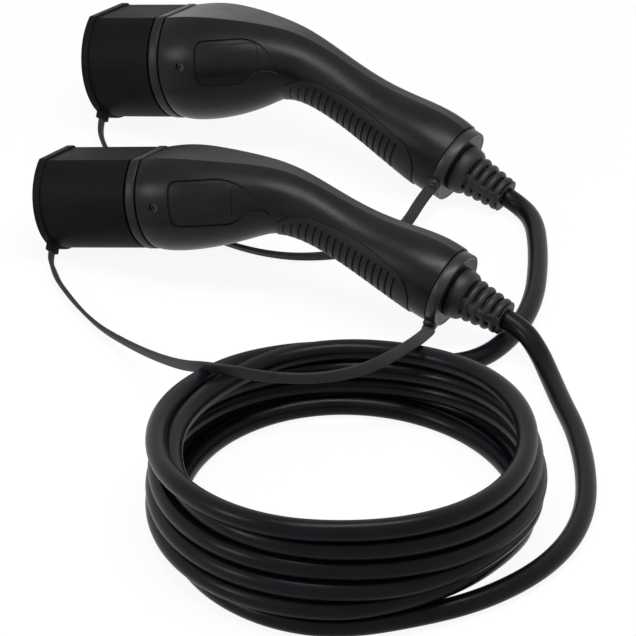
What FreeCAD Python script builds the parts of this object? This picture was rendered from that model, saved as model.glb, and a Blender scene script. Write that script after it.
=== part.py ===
import FreeCAD, Part
import math
import os
import Sketcher
from FreeCAD import Placement, Rotation, Vector

# Charging cable with a connector at each end, in millimetres.
# A connector's own frame has its origin on the barrel axis at the front of the
# collar, +X along the barrel towards the handle and +Z towards the flat top.
# The part's frame has its origin under the middle of the two connectors.

doc = FreeCAD.newDocument("charging_cable")
sheet = doc.addObject("Spreadsheet::Sheet", "Sizes")

SHARED = {
    "cable_diameter": 12.8,
    "strap_width": 8.0,
    "strap_gap": 0.3,
    "fit_gap": 0.1,
    "slide_gap": 0.3,
    "shell_wall": 2.8,
    "collar_width": 7.2,
    "spigot_length": 24.0,
    "seal_width": 3.0,
    "seal_depth": 2.0,
    "retainer_thickness": 4.0,
    "cap_wall": 2.7,
    "cap_floor": 2.6,
    "cap_nose_gap": 1.4,
    "cap_back_gap": 1.6,
    "flange_thickness": 4.8,
    "flange_proud": 1.1,
    "lug_width": 10.0,
    "lug_height": 5.0,
    "lug_thickness": 4.0,
    "cap_lug_angle": 34.0,
    "base_depth": 8.0,
    "tower_moat": 2.2,
    "tower_wall": 2.0,
    "tower_sink": 1.0,
    "pin_radius": 3.0,
    "pilot_radius": 1.5,
    "pin_shoulder": 0.8,
    "pin_well": 3.9,
    "pilot_well": 3.0,
    "sleeve_wall": 1.2,
    "sleeve_floor": 4.0,
    "finger_depth": 8.0,
    "mouth_ease": 0.5,
    "mouth_depth": 10.0,
    "contact_tail": 7.0,
    "power_side": 17.2,
    "power_low_side": 8.9,
    "power_low_drop": 15.8,
    "pilot_side": 8.2,
    "pilot_rise": 13.6,
    "screw_head_radius": 2.9,
    "screw_head_height": 2.2,
    "screw_radius": 1.6,
    "screw_length": 9.0,
    "screw_x": 13.6,
    "screw_sink": 0.6,
    "recess_depth": 1.2,
    "recess_front": 24.0,
    "recess_top": 16.4,
    "recess_low": 13.6,
    "plaque_front": 30.5,
    "plaque_length": 34.0,
    "plaque_top": 13.2,
    "plaque_low": 8.8,
    "plaque_drop": 0.5,
    "pad_proud": 0.7,
    "pad_sink": 1.1,
    "rib_pitch": 5.1,
    "rib_groove": 1.9,
    "rib_count": 17,
    "ring_width": 7.5,
    "ring_depth": 2.2,
    "end_wall": 3.0,
    "sleeve_radius": 9.0,
    "seal_radius": 13.0,
    "gland_length": 5.0,
    "clamp_length": 12.0,
    "clamp_gap": 0.4,
    "clamp_screw_radius": 1.5,
    "clamp_screw_side": 13.5,
    "boot_collar_radius": 16.5,
    "boot_collar_length": 9.5,
    "boot_front_radius": 13.6,
    "boot_tip_radius": 10.8,
    "boot_rib_pitch": 6.4,
    "boot_slot": 2.4,
    "cable_inside": 36.0,
    "power_core_radius": 1.7,
    "pilot_core_radius": 0.8,
    "resistor_radius": 1.3,
    "resistor_length": 6.5,
    "coil_x": 40.46,
    "coil_y": -376.44,
    "coil_half_width": 108.8,
    "coil_half_depth": 127.0,
    "coil_front_height": 76.8,
    "coil_back_height": 49.0,
    "coil_outer_height": 25.6,
    "roll": 12.0,
}

# The vehicle end is slimmer and longer in the nose; the station end is fuller.
VEHICLE = {
    "place_x": -119.7,
    "place_y": 316.9,
    "yaw": 24.0,
    "tail_lift": 13.4,
    "barrel_radius": 33.0,
    "barrel_flat": 27.4,
    "nose_length": 62.0,
    "barrel_length": 96.0,
    "shoulder": 42.0,
    "bend": 28.8,
    "bend_reach": 22.0,
    "handle_length": 127.0,
    "bend_radius": 21.9,
    "neck_radius": 19.3,
    "palm_radius": 21.5,
    "tail_radius": 24.4,
    "boot_length": 36.0,
    "ring_lug_angle": 58.0,
    "panel_shift": 6.5,
    "panel_rise": 0.0,
}
STATION = {
    "place_x": -106.4,
    "place_y": 504.7,
    "yaw": 25.3,
    "tail_lift": 0.0,
    "barrel_radius": 38.3,
    "barrel_flat": 31.8,
    "nose_length": 46.0,
    "barrel_length": 89.0,
    "shoulder": 38.0,
    "bend": 32.3,
    "bend_reach": 22.0,
    "handle_length": 133.0,
    "bend_radius": 24.0,
    "neck_radius": 20.6,
    "palm_radius": 22.4,
    "tail_radius": 24.8,
    "boot_length": 36.0,
    "ring_lug_angle": 66.0,
    "panel_shift": 10.0,
    "panel_rise": 2.5,
}


class Size:
    """A length with its value and the sheet cells that it comes from."""

    def __init__(self, number, text):
        self.number = float(number)
        self.text = text

    def __float__(self):
        return self.number

    def __add__(self, other):
        return joined(self, other, "+", self.number + float(other))

    def __radd__(self, other):
        return joined(other, self, "+", float(other) + self.number)

    def __sub__(self, other):
        return joined(self, other, "-", self.number - float(other))

    def __rsub__(self, other):
        return joined(other, self, "-", float(other) - self.number)

    def __mul__(self, other):
        return joined(self, other, "*", self.number * float(other))

    def __rmul__(self, other):
        return joined(other, self, "*", float(other) * self.number)

    def __truediv__(self, other):
        return joined(self, other, "/", self.number / float(other))

    def __neg__(self):
        return Size(-self.number, "(0 - %s)" % self.text)


def wording(item):
    return item.text if isinstance(item, Size) else "%.6g" % item


def joined(left, right, sign, number):
    return Size(number, "(%s %s %s)" % (wording(left), sign, wording(right)))


def fill_sheet():
    rows = list(SHARED.items())
    rows += [("vehicle_" + name, value) for name, value in VEHICLE.items()]
    rows += [("station_" + name, value) for name, value in STATION.items()]
    for row, (name, value) in enumerate(rows, 1):
        sheet.set("A%d" % row, name)
        sheet.set("B%d" % row, str(value))
        sheet.setAlias("B%d" % row, name)
    doc.recompute()


fill_sheet()


def size(name):
    return Size(getattr(sheet, name), "Sizes." + name)


def bind(thing, **sizes):
    for name, value in sizes.items():
        if isinstance(value, Size):
            thing.setExpression(name, value.text)
        else:
            setattr(thing, name, value)


# Sketches and features

def plane_of(body, role):
    return [plane for plane in body.Origin.OriginFeatures if plane.Role == role][0]


def sketch_on(body, role, name, offset=0.0):
    sketch = body.newObject("Sketcher::SketchObject", name)
    sketch.AttachmentSupport = [(plane_of(body, role), "")]
    sketch.MapMode = "FlatFace"
    if isinstance(offset, Size):
        sketch.setExpression(".AttachmentOffset.Base.z", offset.text)
    else:
        sketch.AttachmentOffset = Placement(Vector(0, 0, offset), Rotation())
    return sketch


def draw_circle(sketch, radius, across=0.0, up=0.0):
    centre = Vector(float(across), float(up), 0)
    edge = sketch.addGeometry(Part.Circle(centre, Vector(0, 0, 1), float(radius)))
    limits = [("Radius", (edge,), radius), ("DistanceX", (-1, 1, edge, 3), across),
              ("DistanceY", (-1, 1, edge, 3), up)]
    for kind, points, value in limits:
        set_limit(sketch, kind, points, value)


def set_limit(sketch, kind, points, value):
    index = sketch.addConstraint(limit(kind, points, float(value)))
    if isinstance(value, Size):
        name = "limit_%d" % index
        sketch.renameConstraint(index, name)
        sketch.setExpression("Constraints." + name, value.text)


def limit(kind, points, value=None):
    if value is None:
        return Sketcher.Constraint(kind, *points)
    return Sketcher.Constraint(kind, *points, value)


def draw_flat_top(sketch, radius, flat):
    """A circle with its top cut off level, the section of the connectors."""
    half = math.acos(float(flat) / float(radius))
    start = math.pi / 2 + half
    end = math.pi / 2 - half + 2 * math.pi
    circle = Part.Circle(Vector(0, 0, 0), Vector(0, 0, 1), float(radius))
    arc = sketch.addGeometry(Part.ArcOfCircle(circle, start, end))
    side = float(radius) * math.sin(half)
    level = sketch.addGeometry(
        Part.LineSegment(Vector(side, float(flat), 0), Vector(-side, float(flat), 0)))
    sketch.addConstraint([
        limit("Coincident", (arc, 3, -1, 1)),
        limit("Coincident", (arc, 1, level, 2)),
        limit("Coincident", (arc, 2, level, 1)),
        limit("Horizontal", (level,)),
    ])
    set_limit(sketch, "Radius", (arc,), radius)
    set_limit(sketch, "DistanceY", (-1, 1, level, 1), flat)


def draw_outline(sketch, corners):
    """A closed outline of straight edges through the given corners."""
    first = sketch.GeometryCount
    points = [Vector(float(x), float(y), 0) for x, y in corners]
    for here, there in zip(points, points[1:] + points[:1]):
        sketch.addGeometry(Part.LineSegment(here, there))
    count = len(corners)
    for index in range(count):
        following = first + (index + 1) % count
        sketch.addConstraint(
            limit("Coincident", (first + index, 2, following, 1)))
    for index, (x, y) in enumerate(corners):
        set_limit(sketch, "DistanceX", (-1, 1, first + index, 1), x)
        set_limit(sketch, "DistanceY", (-1, 1, first + index, 1), y)


def pad(body, sketch, length, backwards=False):
    feature = body.newObject("PartDesign::Pad", sketch.Name + "_pad")
    feature.Profile = sketch
    feature.Reversed = backwards
    bind(feature, Length=length)
    doc.recompute()
    return feature


def pocket(body, sketch, length, forwards=False):
    """Cuts along -X from the sketch, or along +X when it goes forwards."""
    before = body.Shape.Volume
    feature = body.newObject("PartDesign::Pocket", sketch.Name + "_pocket")
    feature.Profile = sketch
    feature.Reversed = forwards
    bind(feature, Length=length)
    doc.recompute()
    if body.Shape.Volume > before - 0.01:
        raise ValueError(sketch.Name + " cuts nothing")
    return feature


def revolve(body, sketch, angle=360.0):
    feature = body.newObject("PartDesign::Revolution", sketch.Name + "_turned")
    feature.Profile = sketch
    feature.ReferenceAxis = (sketch, ["H_Axis"])
    feature.Angle = angle
    doc.recompute()
    return feature


def new_body(name):
    body = doc.addObject("PartDesign::Body", name + "_body")
    body.Label = name
    return body


def bar(name, radius, length, x, y=0.0, z=0.0):
    """A round bar along X."""
    piece = doc.addObject("Part::Cylinder", name)
    piece.Placement = Placement(
        Vector(float(x), float(y), float(z)), Rotation(Vector(0, 1, 0), 90))
    bind(piece, Radius=radius, Height=length)
    for axis, value in (("x", x), ("y", y), ("z", z)):
        if isinstance(value, Size):
            piece.setExpression(".Placement.Base." + axis, value.text)
    return piece


def cut(name, base, tool):
    piece = doc.addObject("Part::Cut", name)
    piece.Base = base
    piece.Tool = tool
    return piece


def fused(name, pieces):
    piece = doc.addObject("Part::MultiFuse", name)
    piece.Shapes = pieces
    return piece


def group(name, pieces):
    """Like solids that lie apart and share one file."""
    piece = doc.addObject("Part::Compound", name + "_group")
    piece.Links = pieces
    piece.Label = name
    return piece


def shaped(name, shape):
    piece = doc.addObject("Part::Feature", name + "_shape")
    piece.Shape = shape
    piece.Label = name
    return piece


# The connector's place and frames

class Gun:
    """One connector: its sizes, its frames and the finished nodes."""

    def __init__(self, name):
        self.name = name
        self.nodes = []
        self.bend = math.radians(float(self.size("bend")))
        corner = Vector(float(self.size("barrel_length")), 0, 0)
        turn = Rotation(Vector(0, 1, 0), float(self.size("bend")))
        self.handle = Placement(corner, turn)
        self.place = self.resting_place()

    def size(self, name):
        return size("%s_%s" % (self.name, name))

    def label(self, piece):
        return "%s_%s" % (self.name, piece)

    def keep(self, piece, in_handle=False):
        piece.Placement = self.place * self.handle if in_handle else self.place
        self.nodes.append(piece)
        return piece

    def lowest(self, rotation, centre, axis, radius):
        """Height of the lowest point of a disc below the gun's origin."""
        lean = rotation.multVec(axis).z
        return rotation.multVec(centre).z - radius * math.sqrt(1 - lean * lean)

    def resting_place(self):
        """Stands on the cap's flange and the tail, or on the boot over a cable."""
        yaw, roll = -float(self.size("yaw")), -float(size("roll"))
        flange = float(self.size("barrel_radius") + size("flange_proud"))
        handle_axis = self.handle.Rotation.multVec(Vector(1, 0, 0))
        length = float(self.size("handle_length"))
        tail = self.handle.multVec(Vector(length, 0, 0))
        tip = self.handle.multVec(Vector(length + float(self.size("boot_length")), 0, 0))
        front = Vector(-float(cap_length(self)), 0, 0)
        low, high = 0.0, 40.0
        for _ in range(50):
            tilt = (low + high) / 2
            turn = Rotation(yaw, -tilt, roll)
            floor = self.lowest(turn, front, Vector(1, 0, 0), flange)
            tail_height = self.lowest(
                turn, tail, handle_axis, float(self.size("tail_radius"))) - floor
            tip_height = self.lowest(
                turn, tip, handle_axis, float(size("boot_tip_radius"))) - floor
            clear = min(tail_height, tip_height - float(self.size("tail_lift")))
            low, high = (tilt, high) if clear < 0 else (low, tilt)
        turn = Rotation(yaw, -tilt, roll)
        floor = self.lowest(turn, front, Vector(1, 0, 0), flange)
        x = float(size("coil_x") + self.size("place_x"))
        y = float(size("coil_y") + self.size("place_y"))
        return Placement(Vector(x, y, -floor), turn)


# Handle shell, a bent moulding lofted through flat-topped sections

def shell_section(centre, lean, radius, flat):
    """A closed section, with its plane leant back from upright by lean."""
    half = math.acos(flat / radius)
    angles = [math.pi / 2 - half, -math.pi / 4, -math.pi / 2,
              -3 * math.pi / 4, -3 * math.pi / 2 + half]

    def point(angle, reach=radius):
        across, up = reach * math.cos(angle), reach * math.sin(angle)
        return centre + Vector(up * math.sin(lean), across, up * math.cos(lean))

    right, low, left = angles[0], angles[2], angles[4]
    edges = [
        Part.LineSegment(point(left), point(right)).toShape(),
        Part.Arc(point(right), point((right + low) / 2), point(low)).toShape(),
        Part.Arc(point(low), point((low + left) / 2), point(left)).toShape(),
    ]
    return Part.Wire(edges)


def shell_solid(gun, inset, start, end):
    """The shell's outer form made smaller all round by inset.

    It runs from start, measured on the barrel, to end, on the handle.
    """
    corner = float(gun.size("barrel_length"))
    reach = float(gun.size("bend_reach"))
    length = float(gun.size("handle_length"))
    radius = float(gun.size("barrel_radius"))
    flat = float(gun.size("barrel_flat"))
    half_bend = gun.bend / 2
    drop = reach * math.tan(half_bend / 2)
    middle = Vector(corner - drop * math.sin(half_bend), 0, -drop * math.cos(half_bend))
    neck, palm, tail = [float(gun.size(name))
                        for name in ("neck_radius", "palm_radius", "tail_radius")]
    shoulder = float(gun.size("shoulder"))
    fore = corner - reach
    fore_radius = radius * 0.8

    def on_handle(distance):
        return gun.handle.multVec(Vector(distance, 0, 0))

    palm_at = (reach + length) / 2
    end_radius = palm + (tail - palm) * (end - palm_at) / (length - palm_at)
    stations = [
        (Vector(start, 0, 0), 0, radius, flat),
        (Vector(shoulder, 0, 0), 0, radius, flat),
        (Vector(fore, 0, 0), 0, fore_radius, fore_radius * 0.88),
        (middle, half_bend, float(gun.size("bend_radius")), float(gun.size("bend_radius")) * 0.94),
        (on_handle(reach), gun.bend, neck, neck * 0.97),
        (on_handle(palm_at), gun.bend, palm, palm * 0.98),
        (on_handle(end), gun.bend, end_radius, end_radius * 0.985),
    ]
    wires = [shell_section(centre, lean, size_here - inset, flat_here - inset)
             for centre, lean, size_here, flat_here in stations]
    return Part.makeLoft(wires, True, False)


def side_prism(corners, near, far):
    """Extrudes an outline, drawn in the side view, from near to far along Y."""
    wire = Part.Wire(corners)
    wire.translate(Vector(0, near, 0))
    return Part.Face(wire).extrude(Vector(0, far - near, 0))


def both_sides(shape):
    return shape.fuse(shape.mirror(Vector(0, 0, 0), Vector(0, 1, 0)))


def recess_outline(gun):
    """The side panel: square at the front, drawn out to a leaf at the back."""
    front = float(size("recess_front") + gun.size("panel_shift"))
    top = float(size("recess_top") + gun.size("panel_rise"))
    low = float(gun.size("panel_rise") - size("recess_low"))
    tip = float(gun.size("barrel_length")) - 1
    corner = 5.0
    knee, rise = front + 29, tip - 18

    def at(x, z):
        return Vector(x, 0, z)

    return [
        Part.LineSegment(at(front, low + corner), at(front, top - corner)).toShape(),
        Part.Arc(at(front, top - corner), at(front + 1.5, top - 1.5),
                 at(front + corner, top)).toShape(),
        Part.LineSegment(at(front + corner, top), at(knee, top)).toShape(),
        Part.Arc(at(knee, top), at((knee + tip) / 2 + 4, top - 7.5), at(tip, low + 5)).toShape(),
        Part.Arc(at(tip, low + 5), at((tip + rise) / 2, low + 8.5), at(rise, low + 6)).toShape(),
        Part.Arc(at(rise, low + 6), at(rise - 5, low + 2), at(rise - 12, low)).toShape(),
        Part.LineSegment(at(rise - 12, low), at(front + corner, low)).toShape(),
        Part.Arc(at(front + corner, low), at(front + 1.5, low + 1.5),
                 at(front, low + corner)).toShape(),
    ]


def rounded_box_outline(front, back, low, top, corner):
    def at(x, z):
        return Vector(x, 0, z)

    bite = corner * (1 - math.sqrt(0.5))
    return [
        Part.LineSegment(at(front, low + corner), at(front, top - corner)).toShape(),
        Part.Arc(at(front, top - corner), at(front + bite, top - bite),
                 at(front + corner, top)).toShape(),
        Part.LineSegment(at(front + corner, top), at(back - corner, top)).toShape(),
        Part.Arc(at(back - corner, top), at(back - bite, top - bite),
                 at(back, top - corner)).toShape(),
        Part.LineSegment(at(back, top - corner), at(back, low + corner)).toShape(),
        Part.Arc(at(back, low + corner), at(back - bite, low + bite),
                 at(back - corner, low)).toShape(),
        Part.LineSegment(at(back - corner, low), at(front + corner, low)).toShape(),
        Part.Arc(at(front + corner, low), at(front + bite, low + bite),
                 at(front, low + corner)).toShape(),
    ]


def pad_outline(gun, margin=0.0):
    """The grip pad from the side, in the handle's frame."""
    start, end = 8.0 + margin, float(gun.size("handle_length")) * 0.84 - margin
    deep = -2.0 * float(gun.size("tail_radius"))
    side = 4.5 - margin

    def at(x, z):
        return Vector(x, 0, z)

    return [
        Part.LineSegment(at(start, deep), at(start, -11)).toShape(),
        Part.Arc(at(start, -11), at(start + 9, side - 6), at(start + 26, side - 0.6)).toShape(),
        Part.Arc(at(start + 26, side - 0.6), at((start + end) / 2 + 8, side + 1),
                 at(end - 18, side - 1.5)).toShape(),
        Part.Arc(at(end - 18, side - 1.5), at(end - 5, side - 7), at(end, -12)).toShape(),
        Part.LineSegment(at(end, -12), at(end, deep)).toShape(),
        Part.LineSegment(at(end, deep), at(start, deep)).toShape(),
    ]


def shell_with_cavity(gun):
    collar = float(size("collar_width"))
    wall = float(size("shell_wall"))
    length = float(gun.size("handle_length"))
    solid_end = float(size("ring_width") + size("end_wall"))
    outer = shell_solid(gun, 0, collar, length)
    inner = shell_solid(gun, wall, collar - 1, length - solid_end)
    return outer, outer.cut(inner)


def handle_bar(gun, radius, start, length):
    shape = Part.makeCylinder(radius, length, Vector(start, 0, 0), Vector(1, 0, 0))
    shape.Placement = gun.handle
    return shape


def tail_step(gun):
    """The ring of stock that is cut away so that the tail ring sits flush."""
    width = float(size("ring_width"))
    start = float(gun.size("handle_length")) - width
    tail = float(gun.size("tail_radius"))
    outer = handle_bar(gun, tail + 6, start, width + 1)
    return outer.cut(handle_bar(gun, tail - float(size("ring_depth")), start - 1, width + 3))


def make_handle_shell(gun):
    collar = float(size("collar_width"))
    length = float(gun.size("handle_length"))
    sink = float(size("recess_depth"))
    outer, shell = shell_with_cavity(gun)
    reach = float(gun.size("barrel_radius")) + 10
    panel = both_sides(side_prism(recess_outline(gun), -reach, -6))
    floor_form = shell_solid(gun, sink, collar - 1, length)
    shell = shell.cut(panel.common(outer.cut(floor_form)))
    drop = float(size("plaque_drop"))
    front = float(size("plaque_front") + gun.size("panel_shift"))
    plate = both_sides(side_prism(rounded_box_outline(
        front, front + float(size("plaque_length")),
        float(gun.size("panel_rise") - size("plaque_low")),
        float(gun.size("panel_rise") + size("plaque_top")), 5.0), -reach, -6))
    plate_form = shell_solid(gun, drop, collar - 1, length)
    shell = shell.fuse(plate.common(plate_form).common(shell_solid(gun, 0, collar, length))
                       .cut(shell_solid(gun, sink + 0.2, collar - 1, length)))
    seat = side_prism(pad_outline(gun), -40, 40)
    seat.Placement = gun.handle
    pad_form = shell_solid(gun, float(size("pad_sink")), collar, length)
    shell = shell.cut(seat.common(shell_solid(gun, -2, collar, length).cut(pad_form)))
    shell = shell.cut(tail_step(gun))
    shell = shell.cut(handle_bar(gun, float(size("sleeve_radius")), length - 40, 60))
    for screw in screw_bars(gun, 0.0):
        shell = shell.cut(screw)
    return gun.keep(shaped(gun.label("handle_shell"), shell))


def make_grip_pad(gun):
    """The soft inlay: its ribs run round the handle and stop under its border."""
    collar = float(size("collar_width"))
    length = float(gun.size("handle_length"))
    prism = side_prism(pad_outline(gun), -40, 40)
    prism.Placement = gun.handle
    proud = shell_solid(gun, -float(size("pad_proud")), collar, length)
    bed = shell_solid(gun, float(size("pad_sink")) - 0.05, collar, length)
    inlay = prism.common(proud).cut(bed)
    pitch, width = float(size("rib_pitch")), float(size("rib_groove"))
    start = 12.0
    border = side_prism(pad_outline(gun, 2.6), -40, 40)
    slots = []
    for index in range(int(float(size("rib_count")))):
        middle = start + index * pitch
        slots.append(Part.makeBox(width, 80, 60, Vector(middle, -40, -60)))
    grooves = Part.makeCompound(slots).common(border)
    grooves.Placement = gun.handle
    groove_form = shell_solid(gun, 0.35, collar - 1, length)
    inlay = inlay.cut(grooves.cut(groove_form))
    return gun.keep(shaped(gun.label("grip_pad"), inlay))


def screw_bars(gun, gap):
    """Head and shank spaces of the two side screws."""
    radius = float(gun.size("barrel_radius")) - float(size("screw_sink"))
    head = float(size("screw_head_height"))
    x = float(size("screw_x") + gun.size("panel_shift"))
    z = float(gun.size("panel_rise"))
    spaces = []
    for side in (-1, 1):
        out = Vector(0, side, 0)
        seat = Vector(x, side * (radius - head), z)
        spaces.append(Part.makeCylinder(
            float(size("screw_head_radius")) + gap, head + 8, seat, out))
        inner = Vector(x, side * (radius - float(size("screw_length"))), z)
        spaces.append(Part.makeCylinder(
            float(size("screw_radius")) + gap, float(size("screw_length")), inner, out))
    return spaces


def make_side_screws(gun):
    """Two cap screws with a hexagon socket, one from each side."""
    pieces = []
    for side in (-1, 1):
        turn = Rotation(Vector(1, 0, 0), -90 * side)
        top = gun.size("barrel_radius") - size("screw_sink")
        x = size("screw_x") + gun.size("panel_shift")
        z = gun.size("panel_rise")
        head = doc.addObject("Part::Cylinder", gun.label("screw_head"))
        shank = doc.addObject("Part::Cylinder", gun.label("screw_shank"))
        socket = doc.addObject("Part::Prism", gun.label("screw_socket"))
        socket.Polygon = 6
        bind(head, Radius=size("screw_head_radius"), Height=size("screw_head_height"))
        bind(shank, Radius=size("screw_radius"), Height=size("screw_length"))
        bind(socket, Circumradius=size("screw_radius"), Height=size("screw_head_height"))
        starts = (top - size("screw_head_height"), top - size("screw_length"),
                  top - size("screw_head_height") * 0.6)
        for piece, start in zip((head, shank, socket), starts):
            piece.Placement = Placement(Vector(float(x), side * float(start), float(z)), turn)
            piece.setExpression(".Placement.Base.x", x.text)
            piece.setExpression(".Placement.Base.z", z.text)
            piece.setExpression(".Placement.Base.y", (side * start).text)
        whole = fused(gun.label("screw_blank"), [head, shank])
        pieces.append(cut(gun.label("screw"), whole, socket))
    return gun.keep(group(gun.label("side_screws"), pieces))


# Nose, contacts and what holds them

def contact_places():
    side, low_side = size("power_side"), size("power_low_side")
    drop = -size("power_low_drop")
    power = [(0.0, 0.0), (side, 0.0), (-side, 0.0), (low_side, drop), (-low_side, drop)]
    pilot = [(size("pilot_side"), size("pilot_rise")),
             (-size("pilot_side"), size("pilot_rise"))]
    return power, pilot


def power_radius(gun):
    """Outside of a power contact where the nose holds it."""
    wall = size("sleeve_wall") if gun.name == "vehicle" else size("pin_shoulder")
    return size("pin_radius") + wall


def pilot_radius(gun):
    """Outside of a signal contact where the nose holds it."""
    wall = size("sleeve_wall") if gun.name == "vehicle" else size("pin_shoulder")
    return size("pilot_radius") + wall * 0.75


def draw_contacts(sketch, power_size, pilot_size):
    power, pilot = contact_places()
    for y, z in power:
        draw_circle(sketch, power_size, y, z)
    for y, z in pilot:
        draw_circle(sketch, pilot_size, y, z)


def nose_radius(gun):
    return gun.size("barrel_radius") - size("cap_wall") - size("slide_gap")


def nose_flat(gun):
    return gun.size("barrel_flat") - size("cap_wall") - size("slide_gap")


def make_nose(gun):
    """Nose, collar and spigot are one moulding that plugs into the shell."""
    body = new_body(gun.label("nose"))
    radius, flat = nose_radius(gun), nose_flat(gun)
    length = gun.size("nose_length")
    nose = sketch_on(body, "YZ_Plane", "nose_outline", -length)
    draw_flat_top(nose, radius, flat)
    pad(body, nose, length)
    hollow = sketch_on(body, "YZ_Plane", "nose_hollow", -length)
    if gun.name == "vehicle":
        moat, wall = size("tower_moat"), size("tower_wall")
        draw_contacts(hollow, power_radius(gun) + wall + moat, pilot_radius(gun) + wall + moat)
        pocket(body, hollow, length - size("base_depth"), forwards=True)
        towers = sketch_on(body, "YZ_Plane", "contact_towers", -size("base_depth"))
        draw_contacts(towers, power_radius(gun) + wall, pilot_radius(gun) + wall)
        pad(body, towers, length - size("base_depth") - size("tower_sink"), backwards=True)
    else:
        draw_contacts(hollow, size("pin_radius") + size("pin_well"),
                      size("pilot_radius") + size("pilot_well"))
        pocket(body, hollow, length - size("base_depth"), forwards=True)
    collar = sketch_on(body, "YZ_Plane", "collar_outline")
    draw_flat_top(collar, gun.size("barrel_radius"), gun.size("barrel_flat"))
    pad(body, collar, size("collar_width"))
    inset = size("shell_wall") + size("fit_gap")
    spigot = sketch_on(body, "YZ_Plane", "spigot_outline", size("collar_width"))
    draw_flat_top(spigot, gun.size("barrel_radius") - inset, gun.size("barrel_flat") - inset)
    pad(body, spigot, size("spigot_length"))
    groove = sketch_on(body, "YZ_Plane", "seal_groove", size("collar_width") + 3.5)
    draw_flat_top(groove, gun.size("barrel_radius") - inset, gun.size("barrel_flat") - inset)
    inner = inset + size("seal_depth")
    draw_flat_top(groove, gun.size("barrel_radius") - inner, gun.size("barrel_flat") - inner)
    pocket(body, groove, size("seal_width"), forwards=True)
    bores = sketch_on(body, "YZ_Plane", "contact_bores",
                      size("collar_width") + size("spigot_length"))
    draw_contacts(bores, power_radius(gun), pilot_radius(gun))
    ahead = contact_front(gun) if gun.name == "vehicle" else size("base_depth")
    pocket(body, bores, size("collar_width") + size("spigot_length") + ahead)
    for way in (-1, 1):
        add_screw_hole(gun, body, way)
    if gun.name == "vehicle":
        mouths = sketch_on(body, "YZ_Plane", "contact_mouths", -length)
        ease = size("mouth_ease")
        draw_contacts(mouths, size("pin_radius") + ease, size("pilot_radius") + ease)
        pocket(body, mouths, size("mouth_depth"), forwards=True)
    return gun.keep(body)


def add_screw_hole(gun, body, way):
    hole = body.newObject("PartDesign::SubtractiveCylinder", "screw_hole")
    hole.AttachmentSupport = [(plane_of(body, "XZ_Plane"), "")]
    hole.MapMode = "FlatFace"
    start = gun.size("barrel_radius") - size("screw_sink") - size("screw_length") - 0.5
    offset = Placement(Vector(0, 0, 0), Rotation(Vector(1, 0, 0), 90 + 90 * way))
    hole.AttachmentOffset = offset
    bind(hole, Radius=size("screw_radius") + 0.05, Height=size("screw_length"))
    hole.setExpression(".AttachmentOffset.Base.x", (size("screw_x") + gun.size(
        "panel_shift")).text)
    hole.setExpression(".AttachmentOffset.Base.y", gun.size("panel_rise").text)
    hole.setExpression(".AttachmentOffset.Base.z", (-way * start).text)
    before = body.Shape.Volume
    doc.recompute()
    if body.Shape.Volume > before - 1:
        raise ValueError("screw hole misses the spigot")


def contact_front(gun):
    """Contacts stop short of the nose's face, so that a finger can't reach."""
    return gun.size("nose_length") - size("finger_depth")


def make_contacts(gun):
    """Sleeves at the vehicle end, shouldered pins at the station end."""
    power, pilot = contact_places()
    rear = (size("collar_width") + size("spigot_length") + size("retainer_thickness")
            + size("contact_tail"))
    front = -contact_front(gun)
    kinds = (("power_contacts", power, power_radius(gun), size("pin_radius")),
             ("signal_contacts", pilot, pilot_radius(gun), size("pilot_radius")))
    for label, places, outer, inner in kinds:
        pieces = []
        for index, (y, z) in enumerate(places):
            name = "%s_%d" % (gun.label(label), index)
            if gun.name == "vehicle":
                bored = contact_front(gun) - size("sleeve_floor")
                hole = bar(name + "_bore", inner, bored, front, y, z)
                body = cut(name, bar(name + "_rod", outer, rear - front, front, y, z), hole)
            else:
                root = size("base_depth")
                pin = bar(name + "_pin", inner, rear - front, front, y, z)
                body = fused(name, [bar(name + "_root", outer, rear + root, -root, y, z), pin])
            pieces.append(body)
        gun.keep(group(gun.label(label), pieces))


def make_retainer(gun):
    """Plate behind the nose that keeps the contacts from pulling out."""
    body = new_body(gun.label("contact_retainer"))
    inset = size("shell_wall") + 1.0
    plate = sketch_on(body, "YZ_Plane", "retainer_outline",
                      size("collar_width") + size("spigot_length"))
    draw_flat_top(plate, gun.size("barrel_radius") - inset, gun.size("barrel_flat") - inset)
    draw_contacts(plate, power_radius(gun), pilot_radius(gun))
    pad(body, plate, size("retainer_thickness"))
    return gun.keep(body)


def make_nose_seal(gun):
    body = new_body(gun.label("nose_seal"))
    outer = size("shell_wall")
    inner = outer + size("fit_gap") + size("seal_depth")
    ring = sketch_on(body, "YZ_Plane", "seal_outline", size("collar_width") + 3.5)
    draw_flat_top(ring, gun.size("barrel_radius") - outer, gun.size("barrel_flat") - outer)
    draw_flat_top(ring, gun.size("barrel_radius") - inner, gun.size("barrel_flat") - inner)
    pad(body, ring, size("seal_width"))
    return gun.keep(body)


# Dust cap

def cap_length(gun):
    """From the collar to the cap's front, over the nose and a small gap."""
    return gun.size("nose_length") + size("cap_nose_gap") + size("cap_floor")


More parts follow.
